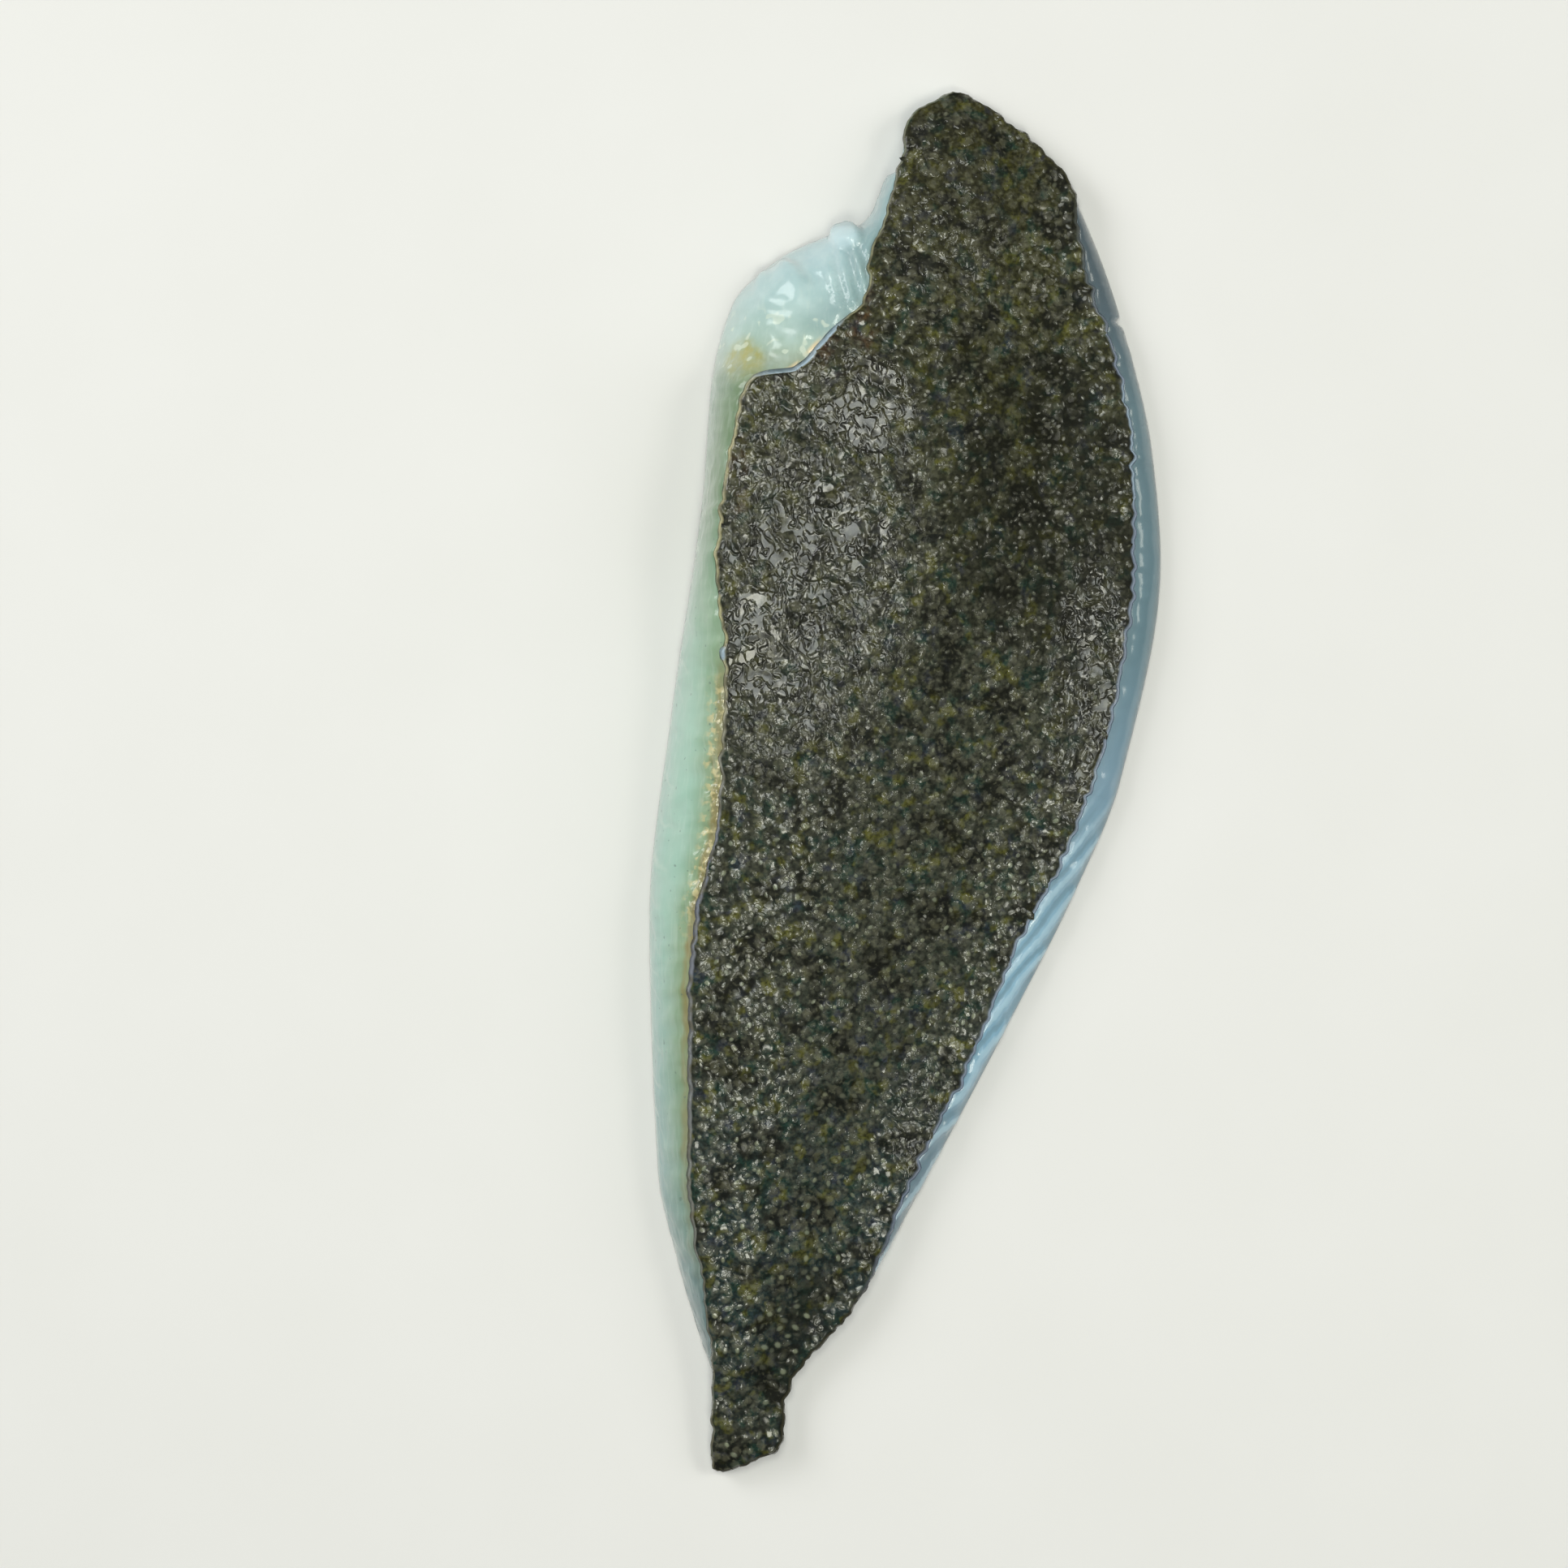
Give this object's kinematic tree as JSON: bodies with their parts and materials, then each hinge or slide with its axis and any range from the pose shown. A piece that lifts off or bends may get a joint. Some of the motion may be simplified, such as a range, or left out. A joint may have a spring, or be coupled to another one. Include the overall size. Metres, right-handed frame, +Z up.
{
  "type": "skin-on turbot fillet",
  "caption": "Raw flatfish fillet lying skin side up: a tapering wedge of pale flesh under dark bumpy skin, thick along the backbone cut and thin along the fin edge.",
  "frame": {"origin": "centre of the bounding box in plan, on the plane that the flat underside rests on", "axes": "+Y runs along the length from tail to head, +X from the thick backbone cut to the thin fin edge, +Z up out of the skin"},
  "size_m": [0.1118, 0.3, 0.0211],
  "materials": {
    "fish_flesh": "moist, slightly translucent",
    "fish_skin": "wet, bumpy"
  },
  "bodies": {
    "root": {"flesh": "fish_flesh", "skin": "fish_skin"}
  },
  "joints": []
}
